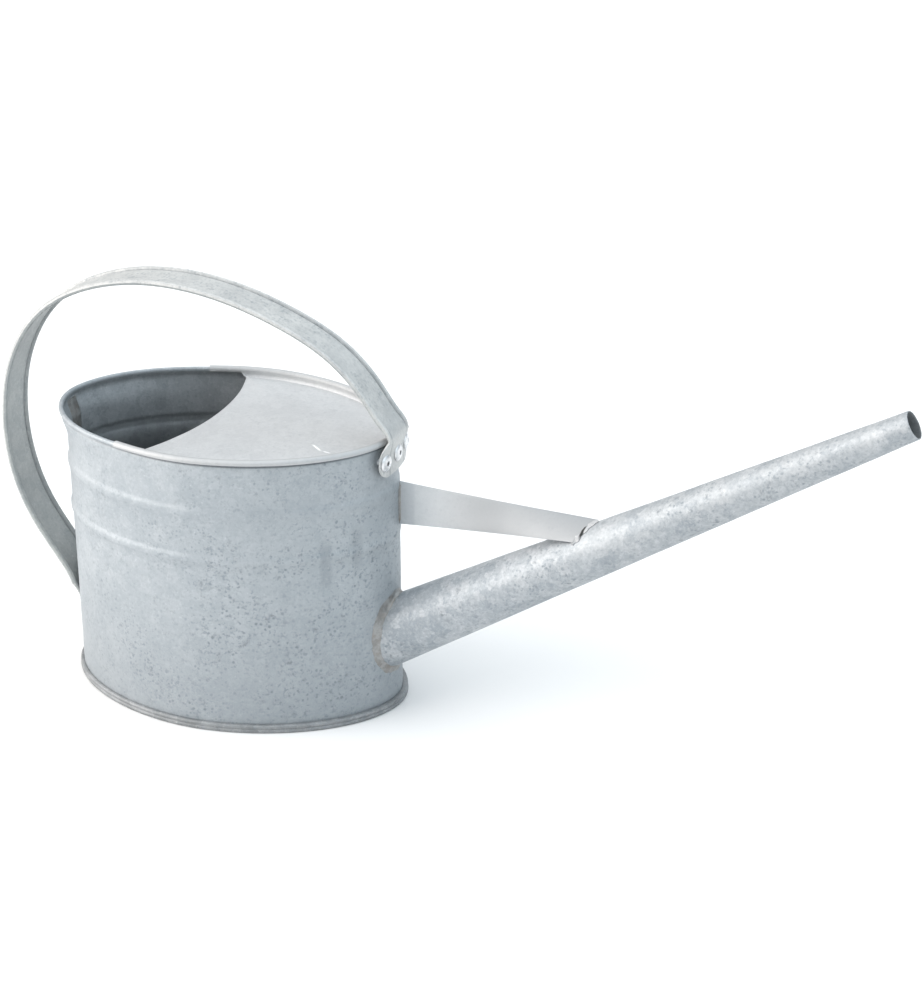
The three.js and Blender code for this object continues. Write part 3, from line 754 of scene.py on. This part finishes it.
def build_cover():
    hem_inside = RIM_OFFSET - HEM_RADIUS
    plate_offset = hem_inside - 0.5

    def ahead_of_arc(angle):
        spot, _ = oval(angle, plate_offset)
        return spot.x > arc_edge_x(spot.y)

    def ahead_of_end(angle):
        return oval(angle, plate_offset)[0].x > HEM_END_X

    corners = {
        side: turning_point(lambda angle: ahead_of_arc(side * angle), 0.3, 3.0) for side in (1, -1)
    }
    end = turning_point(ahead_of_end, 0.3, 3.0)
    angles = [end * (2 * i / 260 - 1) for i in range(261)]
    rows = []
    for angle in angles:
        base, normal = oval(angle)
        corner = corners[1 if angle > 0 else -1]
        corner_y = oval(corner, plate_offset)[0].y
        share = min(abs(angle) / corner, 1.0)
        ending = smooth(corner, corner + 0.035, abs(angle))
        fillet_start, _ = oval(angle, lerp(plate_offset - 0.6, hem_inside - 0.04, ending))
        arc_y = math.copysign(corner_y * share, angle)
        arc_point = fillet_start if share == 1.0 else Vector((arc_edge_x(arc_y), arc_y))
        plate_z = lerp(COVER_Z, 147.3, ending)

        def towards(from_offset, from_rise, to_inset, to_rise):
            """A point of the fillet that closes up on the hem where the cover's arc ends."""
            offset = lerp(plate_offset - from_offset, hem_inside - to_inset, ending)
            return offset, plate_z + lerp(from_rise, to_rise, ending)

        row = []
        steps = 26
        for i in range(steps):
            spot = arc_point.lerp(fillet_start, (i / steps) ** 0.85)
            crown = 0.35 * wobble(12.0, spot.x / 38, spot.y / 38)
            crown += 0.12 * wobble(13.0, spot.x / 14, spot.y / 14)
            sag = 0.5 * smooth(0, 0.25, i / steps) * (1 - smooth(0.6, 1.0, i / steps))
            row.append((spot.x, spot.y, plate_z + (crown + sag) * (1 - i / steps) ** 0.5))
        profile = [
            towards(0.6, 0.0, 0.03, 0.0),
            towards(0.25, 0.1, 0.02, 0.03),
            towards(0.02, 0.45, 0.01, 0.06),
            (hem_inside, lerp(146.6, 147.45, ending)),
        ]
        for i in range(11):
            turn = math.radians(180 - 185 * i / 10)
            lift = 0.05 * ring_wobble(15.0, angle, 9)
            z = RIM_Z + (HEM_RADIUS + lift) * math.sin(turn)
            profile.append((RIM_OFFSET + HEM_RADIUS * math.cos(turn), z))
        hem_bottom = 147.55 + 0.12 * ring_wobble(16.0, angle, 6)
        profile.append((RIM_OFFSET + HEM_RADIUS - 0.08, hem_bottom))
        row += [(*(base + normal * (offset + lip_reach(angle, z))), z) for offset, z in profile]
        rows.append(row)
    cover = skin("cover_sheet", rows, COVER_PAINT)
    thicken(cover, COVER_SHEET)
    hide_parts("top_cover")


# ---------------------------------------------------------------- strap

def natural_spline(points, count):
    """Evenly spread points and directions on a smooth curve through the given ones."""
    points = np.array(points, float)
    steps = np.linalg.norm(np.diff(points, axis=0), axis=1)
    knots = np.concatenate(([0.0], np.cumsum(steps)))
    size = len(points)
    matrix = np.zeros((size, size))
    right = np.zeros((size, 2))
    matrix[0, 0] = matrix[-1, -1] = 1
    for i in range(1, size - 1):
        matrix[i, i - 1:i + 2] = steps[i - 1], 2 * (steps[i - 1] + steps[i]), steps[i]
        before, after = points[i] - points[i - 1], points[i + 1] - points[i]
        right[i] = 6 * (after / steps[i] - before / steps[i - 1])
    curving = np.linalg.solve(matrix, right)

    def at(s):
        i = min(max(int(np.searchsorted(knots, s)) - 1, 0), size - 2)
        h, a, b = steps[i], knots[i + 1] - s, s - knots[i]
        return (
            curving[i] * a ** 3 / (6 * h) + curving[i + 1] * b ** 3 / (6 * h)
            + (points[i] / h - curving[i] * h / 6) * a
            + (points[i + 1] / h - curving[i + 1] * h / 6) * b
        )

    spots = [knots[-1] * i / (count - 1) for i in range(count)]
    places = [at(s) for s in spots]
    ways = []
    for s in spots:
        low, high = max(s - 0.2, 0), min(s + 0.2, knots[-1])
        way = at(high) - at(low)
        ways.append(way / np.linalg.norm(way))
    return places, ways


def strap_outline(half_width, bead, groove):
    """The strap's section: (across, out), a flat web between two rolled edges."""
    half = STRAP_SHEET / 2
    centre = half_width - bead
    right = [(share * (centre - bead), half) for share in (0.0, 0.25, 0.5, 0.7, 0.82, 0.9)]
    right += [(centre - 1.05 * bead, half - groove * 0.8), (centre - 0.92 * bead, half - groove)]
    start = 180 - math.degrees(math.asin(min((half - 0.5 * groove) / bead, 0.999)))
    for i in range(9):
        turn = math.radians(lerp(start, -start, i / 8))
        right.append((centre + bead * math.cos(turn), bead * math.sin(turn)))
    right += [(across, -out) for across, out in reversed(right[1:8])]
    return right + [(-across, -out) for across, out in right]


def strap_width(z, front):
    """Half the strap's width, with its feet's rounded outlines."""
    foot_half, top, spread, bottom, corner = FRONT_FOOT if front else REAR_FOOT
    body_half = STRAP_WIDTH / 2
    if z >= top + spread:
        return body_half
    if z > top:
        flare = math.sqrt(max(1 - ((z - top) / spread) ** 2, 0.0))
        return body_half + (foot_half - body_half) * flare
    if z > bottom + corner:
        return foot_half
    down = min((bottom + corner - z) / corner, 1.0)
    return foot_half - corner * (1 - math.sqrt(max(1 - down * down, 0.0)))


def build_strap():
    places, ways = natural_spline(STRAP_PATH, 420)
    rows = []
    for i, ((x, z), (way_x, way_z)) in enumerate(zip(places, ways)):
        front = x > 0
        foot_zone = (1 - smooth(146, 157, z)) if front else (1 - smooth(34, 44, z))
        bead = lerp(STRAP_BEAD, STRAP_SHEET / 2, foot_zone)
        groove = lerp(0.3, 0.0, foot_zone)
        half_width = strap_width(z, front) if foot_zone > 0 else STRAP_WIDTH / 2
        out = Vector((-way_z, way_x))
        row = []
        for across, rise in strap_outline(half_width, bead, groove):
            sag = foot_zone * (across * across / 140 if front else oval_x(across) - HALF_LENGTH)
            dish = 0.12 * wobble(18.0, i / 40, across / 12) * (1 - foot_zone)
            offset = rise + dish
            row.append((x + out.x * offset - sag, across, z + out.y * offset))
        rows.append(row)
    strap = skin("carrying_strap", rows, STRAP_PAINT, close_points=True, cap=True)
    grip = Vector(to_row((-18, 0, 110)))
    repaint(strap, STRAP_SHADED_PAINT, lambda centre, normal: normal.dot(grip - centre) > 0)
    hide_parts("handle_strap")


# ---------------------------------------------------------------- spout

SPOUT_AXIS = Vector((math.cos(SPOUT_ANGLE), 0, math.sin(SPOUT_ANGLE)))
SPOUT_UP = Vector((-math.sin(SPOUT_ANGLE), 0, math.cos(SPOUT_ANGLE)))
SPOUT_SIDE = Vector((0, 1, 0))
SPOUT_ROOT = Vector((HALF_LENGTH, 0, SPOUT_ROOT_Z))


def spout_radius(along):
    return lerp(SPOUT_ROOT_RADIUS, SPOUT_TIP_RADIUS, along / SPOUT_LENGTH)


def spout_point(along, turn, lift=0.0):
    """On the spout's skin; turn 0 is its top, and lift is out from the skin."""
    radius = spout_radius(along) + lift
    spoke = SPOUT_UP * math.cos(turn) + SPOUT_SIDE * math.sin(turn)
    return SPOUT_ROOT + SPOUT_AXIS * along + spoke * radius


def spout_meets_wall(turn, lift=0.0, offset=0.0):
    """How far along its axis the spout's skin comes out of the wall."""
    def inside(along):
        spot = spout_point(along, turn, lift)
        return oval_level(spot.x, spot.y, offset) < 0

    return turning_point(inside, -40.0, 40.0)


def spout_cutter():
    rows = [[spout_point(along, turn, -0.9) for turn in turns(48)] for along in (-40.0, 30.0)]
    return skin("spout_cutter", rows, BODY_PAINT, close_points=True, cap=True)


def spout_dents(along, turn):
    dents = 0.16 * wobble(22.0, along / 35, math.cos(turn), math.sin(turn))
    dents += 0.05 * wobble(23.0, along / 9, 2 * math.cos(turn), 2 * math.sin(turn))
    return dents * smooth(0, 20, along)


def build_spout():
    """A rolled, tapering tube with a lapped seam along its underside."""
    rows = []
    for turn in turns(128):
        start = spout_meets_wall(turn, 0.0, -SHEET)
        seam = 0.45 * (1 - smooth(0.05, 0.11, abs(math.remainder(turn - 2.75, 2 * math.pi))))
        row = []
        for i in range(111):
            along = lerp(start, SPOUT_LENGTH - 0.35, i / 110)
            lift = spout_dents(along, turn) + seam * spout_radius(along) / 17
            row.append(spout_point(along, turn, lift))
        tip = spout_dents(SPOUT_LENGTH, turn)
        ragged = 0.15 * ring_wobble(25.0, turn, 3)
        row.append(spout_point(SPOUT_LENGTH - 0.05 + min(ragged, 0), turn, tip - 0.12))
        row.append(spout_point(SPOUT_LENGTH - 0.05 + min(ragged, 0), turn, tip - 0.5))
        row.append(spout_point(SPOUT_LENGTH - 0.4, turn, tip - SPOUT_SHEET))
        for i in range(60, -1, -1):
            along = lerp(start, SPOUT_LENGTH - 1.0, i / 60)
            row.append(spout_point(along, turn, spout_dents(along, turn) - SPOUT_SHEET))
        rows.append(row)
    spout = skin("spout_pipe", rows, SPOUT_PAINT, close_rows=True, close_points=True)

    def on_inside(centre, normal):
        out = centre - Vector(to_row(SPOUT_ROOT))
        return normal.dot(out - SPOUT_AXIS * out.dot(SPOUT_AXIS)) < 0

    repaint(spout, BORE_SHADE_PAINT, on_inside)
    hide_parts("spout_tube")


def build_root_solder():
    """The uneven fillet of solder where the spout comes out of the wall."""
    rows = []
    for turn in turns(180):
        c, s = math.cos(turn), math.sin(turn)
        shoulder = math.exp(-(math.remainder(turn + 0.85, 2 * math.pi) / 0.6) ** 2)
        reach_wall = 2.1 + 4.0 * shoulder + 0.7 * ring_wobble(31.0, turn, 2.5)
        reach_wall += 0.5 * ring_wobble(32.0, turn, 7)
        reach_tube = 2.4 + 0.9 * ring_wobble(33.0, turn, 2.2) + 0.5 * ring_wobble(34.0, turn, 8)
        corner_at = spout_meets_wall(turn)
        wall_at = spout_meets_wall(turn, reach_wall, 0.05)
        wall_spot = spout_point(wall_at, turn, reach_wall)
        tube_spot = spout_point(corner_at + reach_tube, turn, 0.08)
        corner = spout_point(corner_at + 0.75, turn, 0.6)
        row = [spout_point(spout_meets_wall(turn, reach_wall, -0.35), turn, reach_wall)]
        for i in range(9):
            t = i / 8
            spot = bend(wall_spot, corner, tube_spot, t)
            bulge = 0.3 * wobble(35.0, 9 * c + t, 9 * s + t) * 4 * t * (1 - t)
            row.append(spot + (SPOUT_UP * c + SPOUT_SIDE * s + SPOUT_AXIS) * bulge)
        row.append(spout_point(corner_at + reach_tube, turn, -0.3))
        row.append(spout_point(corner_at - 0.4, turn, -0.3))
        rows.append(row)
    solder = skin("spout_root_fillet", rows, SOLDER_PAINT, close_rows=True, close_points=True)
    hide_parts("spout_root_solder")


# ---------------------------------------------------------------- brace

def spout_top(x, y, lift):
    """The point of the spout's skin straight over x, y, raised by lift."""
    along = (x - HALF_LENGTH) / math.cos(SPOUT_ANGLE)
    radius = spout_radius(along) + lift
    rise = math.sqrt(radius * radius - y * y) / math.cos(SPOUT_ANGLE)
    return Vector((x, y, SPOUT_ROOT_Z + (x - HALF_LENGTH) * math.tan(SPOUT_ANGLE) + rise))


def brace_end(across):
    """Where the brace's end lies in plan, from its near corner to its far one."""
    return [lerp(near, far, across) for near, far in zip(BRACE_TIP_NEAR, BRACE_TIP_FAR)]


def brace_point(share, across):
    """share 0 is at the body and 1 on the spout; across 0 is the lower, near edge."""
    bow = 1 - 0.035 * 4 * share * (1 - share)
    across = 0.5 + (across - 0.5) * bow
    root = Vector((oval_x(BRACE_ROOT_Y) - 0.1, BRACE_ROOT_Y, lerp(*BRACE_ROOT_Z, across)))
    tip = spout_top(*brace_end(across), 0.12 + BRACE_SHEET / 2)
    return root.lerp(tip, share)


def build_brace():
    rows = []
    half = BRACE_SHEET / 2
    for i in range(91):
        share = i / 90
        row_top, row_bottom = [], []
        for j in range(15):
            across = j / 14
            spot = brace_point(share, across)
            before, after = max(share - 0.01, 0.0), min(share + 0.01, 1.0)
            ahead = brace_point(after, across) - brace_point(before, across)
            below, above = max(across - 0.02, 0), min(across + 0.02, 1)
            side = brace_point(share, above) - brace_point(share, below)
            normal = ahead.cross(side).normalized()
            wave = 0.25 * wobble(41.0, share * 4, across * 2) * math.sin(math.pi * share)
            thin = half * (0.55 if j in (0, 14) else 1.0)
            row_top.append(spot - normal * (thin + wave))
            row_bottom.append(spot + normal * (thin - wave))
        rows.append(row_top + row_bottom[::-1])
    brace = skin("brace_strip", rows, BRACE_PAINT, close_points=True, cap=True)
    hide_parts("spout_brace")


def build_brace_tip_solder():
    """Solder run down off the brace's end, thick at the far corner and ragged at the near one."""
    away = Vector((0.82, -0.57)).normalized()
    rows = []
    for i in range(61):
        across = lerp(-0.02, 1.02, i / 60)
        x, y = brace_end(across)
        body = smooth(0.0, 0.12, across) * (1 - smooth(0.93, 1.02, across))
        ragged = 0.9 * wobble(51.0, across * 9) + 0.5 * wobble(52.0, across * 25)
        reach = 0.5 + body * (1.1 + 1.3 * across + ragged)

        def beyond(distance, lift):
            return spout_top(x + distance * away.x, y + distance * away.y, lift)

        top = beyond(-0.9, 0.3 + 0.72 * BRACE_SHEET + 0.25 * body)
        front = beyond(0.35, 0.75 + 0.35 * body)
        toe = beyond(reach, 0.05)
        row = []
        for k in range(8):
            t = k / 7
            spot = bend(top, front, toe, t)
            row.append(spot + SPOUT_UP * 0.22 * wobble(53.0, across * 14, t * 3) * 4 * t * (1 - t))
        row.append(beyond(0.6 * reach, -0.3))
        row.append(beyond(-0.9, -0.1))
        rows.append(row)
    tinned = galvanised(
        "tinned_joint", (0.50, 0.505, 0.51), (0.40, 0.405, 0.41), specks=0.3, extra=brace_end_gap_shadow
    )
    solder = skin("brace_tip_lump", rows, tinned, close_points=True, cap=True)
    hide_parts("brace_tip_solder")


def build_brace_root_solder():
    """Fillets of solder up both sides of the brace where it meets the wall."""
    mesh_bm = bmesh.new()
    low, high = BRACE_SOLDER_Z
    for side in (1, -1):
        rows = []
        for i in range(41):
            z = lerp(low, high, i / 40)
            end = smooth(low, low + 2.5, z) * (1 - smooth(high - 2.4, high, z))
            reach = 0.3 + end * (1.5 + 0.7 * wobble(61.0 + side, z / 4))
            y0 = BRACE_ROOT_Y + side * BRACE_SHEET * 0.4
            y1 = y0 + side * reach
            rib = rib_rise(z, 0.1)
            wall = Vector((oval_x(y1) + rib + 0.02, y1, z))
            strip = Vector((oval_x(y0) + rib + reach, y0 + side * 0.08, z))
            corner = Vector((oval_x(y0) + rib + 0.35, y0 + side * 0.35, z))
            row = [bend(wall, corner, strip, k / 6) for k in range(7)]
            row.append(Vector((oval_x(y0) - 0.3, y0 - side * 0.2, z)))
            rows.append(row)
        add_skin(mesh_bm, rows, close_points=True, cap=True)
    solder = make_object("brace_root_fillet", mesh_bm, SOLDER_PAINT)
    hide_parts("brace_root_solder")


# ---------------------------------------------------------------- rivets

def turned(name, section, place, outward, material, steps=36, ragged=0.0):
    """A turned piece whose section points are (radius, height along outward)."""
    outward = Vector(outward).normalized()
    side = Vector((0, 0, 1)).cross(outward).normalized()
    up = outward.cross(side)
    rows = []
    for turn in turns(steps):
        ring = []
        c, s = math.cos(turn), math.sin(turn)
        spoke = side * c + up * s
        for radius, height in section:
            uneven = 1 + ragged * wobble(71.0, 2 * c + height, 2 * s + radius)
            ring.append(Vector(place) + spoke * radius * uneven + outward * height)
        rows.append(ring)
    return skin(name, rows, material, close_rows=True)


def build_rivets(prefix, side, spots, plan_radius, stand_off):
    """Blind rivets at (y, z) spots of a foot that is bent to plan_radius."""
    for number, (y, z) in enumerate(spots, 1):
        lean = math.asin(y / plan_radius)
        face = HALF_LENGTH + stand_off - plan_radius * (1 - math.cos(lean))
        place = (side * face, y, z)
        outward = (side * math.cos(lean), math.sin(lean), 0)
        grip = (face - oval_x(y, -SHEET)) / math.cos(lean)
        shank = [(2.0, -0.02)] + [(radius, -(grip + 0.4) - deeper) for radius, deeper in BLIND_END]
        section = RIVET_FACE + shank
        rivet = turned(f"{prefix}_rivet_head_{number}", section, place, outward, RIVET_PAINT)
        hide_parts(f"{prefix}_rivet_{number}")
        name = f"{prefix}_mandrel_pin_{number}"
        mandrel = turned(name, MANDREL_PIN, place, outward, MANDREL_PAINT, 20, ragged=0.12)
        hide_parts(f"{prefix}_mandrel_{number}")


# ---------------------------------------------------------------- the whole can

build_body()
build_lap_seam()
build_base()
build_cover()
build_strap()
build_spout()
build_root_solder()
build_brace()
build_brace_tip_solder()
build_brace_root_solder()
build_rivets("front", 1, FRONT_RIVETS, *FRONT_FACE)
build_rivets("rear", -1, REAR_RIVETS, *REAR_FACE)


# ---------------------------------------------------------------- floor, light, camera

def build_floor():
    mesh = bpy.data.meshes.new("floor")
    mesh_bm = bmesh.new()
    bmesh.ops.create_grid(mesh_bm, x_segments=8, y_segments=8, size=6.0)
    mesh_bm.to_mesh(mesh)
    mesh_bm.free()
    paint = Paint("floor_paper")
    feed(paint.tree, paint.shader, {
        "Base Color": (0.86, 0.855, 0.85, 1), "Roughness": 0.9, "Specular IOR Level": 0.1,
    })
    mesh.materials.append(paint.material)
    link_new("floor", mesh)


def sun_light(name, from_point, strength, spread, colour):
    """A far, broad light that shines from the direction of from_point."""
    light = bpy.data.lights.new(name, "SUN")
    light.energy = strength
    light.angle = math.radians(spread)
    light.color = colour
    lamp = link_new(name, light)
    lamp.location = from_point
    lamp.rotation_euler = (-Vector(from_point)).to_track_quat("-Z", "Y").to_euler()


def build_light():
    """A tent of soft light, brightest overhead and cooler towards +X, with a key from -X."""
    world = bpy.data.worlds.new("studio")
    world.use_nodes = True
    tree = world.node_tree
    place = add_node(tree, "ShaderNodeTexCoord", {}).outputs["Generated"]
    parts = add_node(tree, "ShaderNodeSeparateXYZ", {"Vector": place}).outputs
    height = add_node(tree, "ShaderNodeMapRange", {
        "Value": parts["Z"], "To Min": 0.18, "To Max": 1.80,
    })
    side = add_node(tree, "ShaderNodeMapRange", {
        "Value": parts["X"], "From Min": -0.8, "From Max": 0.8,
    })
    tint = add_node(tree, "ShaderNodeMix", {
        0: side.outputs["Result"], 6: (1.03, 1.0, 0.975, 1), 7: (0.82, 0.94, 1.03, 1),
    }, data_type="RGBA")
    feed(tree, tree.nodes["Background"], {
        "Color": tint.outputs[2], "Strength": height.outputs["Result"],
    })
    bpy.context.scene.world = world
    sun_light("key", (-2.6, -1.5, 1.05), 2.85, 55, (1.0, 0.95, 0.91))
    sun_light("fill", (2.6, -0.3, 0.7), 0.55, 60, (0.90, 0.97, 1.0))
    bpy.context.scene.view_settings.view_transform = "Standard"


def build_camera():
    azimuth, elevation, roll = (math.radians(v) for v in (20.58, 24.283, -0.488))
    right = Vector((math.cos(azimuth), math.sin(azimuth), 0))
    back = Vector((
        math.sin(azimuth) * math.cos(elevation),
        -math.cos(azimuth) * math.cos(elevation),
        math.sin(elevation),
    ))
    up = back.cross(right)
    turned_right = right * math.cos(roll) + up * math.sin(roll)
    turned_up = up * math.cos(roll) - right * math.sin(roll)
    camera_data = bpy.data.cameras.new("camera")
    camera_data.sensor_width = 36
    camera_data.lens = 93.73
    camera = link_new("camera", camera_data)
    basis = Matrix((turned_right, turned_up, back)).transposed()
    place = Matrix.Translation((0.4269, -1.1012, 0.6499))
    camera.matrix_world = place @ basis.to_4x4()
    bpy.context.scene.camera = camera


build_floor()
build_light()
build_camera()
